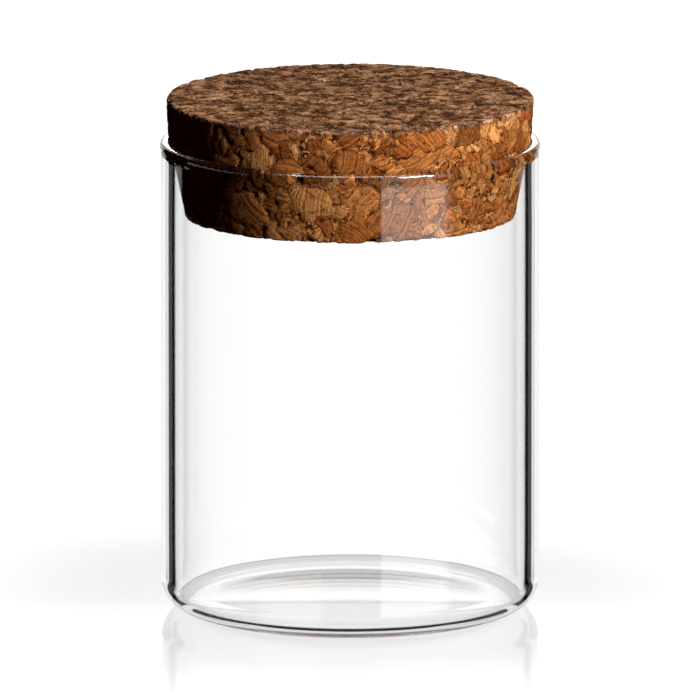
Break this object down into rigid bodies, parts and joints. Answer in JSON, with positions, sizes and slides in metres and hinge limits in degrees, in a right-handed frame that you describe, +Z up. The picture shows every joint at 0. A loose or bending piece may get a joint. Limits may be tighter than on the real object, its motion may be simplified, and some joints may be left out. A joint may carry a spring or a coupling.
{
  "type": "glass jar with cork stopper",
  "caption": "Straight-sided clear glass jar with a round heel and fire-polished lip, closed by a tapered granulated cork stopper that lifts straight out of the mouth.",
  "frame": {"origin": "centre of the jar's foot, on the surface that it stands on", "axes": "+Z up along the jar's turning axis and the way the stopper leaves; X and Y are alike, because both pieces are round"},
  "size_m": [0.0652, 0.0652, 0.089],
  "materials": {
    "clear_glass": "clear, smooth, fire-polished lip",
    "granulated_cork": "raw agglomerated cork, matt, pitted"
  },
  "bodies": {
    "jar": {"glass_jar": "clear_glass"},
    "stopper": {"cork_stopper": "granulated_cork"}
  },
  "joints": [
    {"name": "stopper_lift", "type": "slide", "parent": "jar", "child": "stopper", "axis": [0, 0, 1], "range_m": [0, 0.03]}
  ]
}
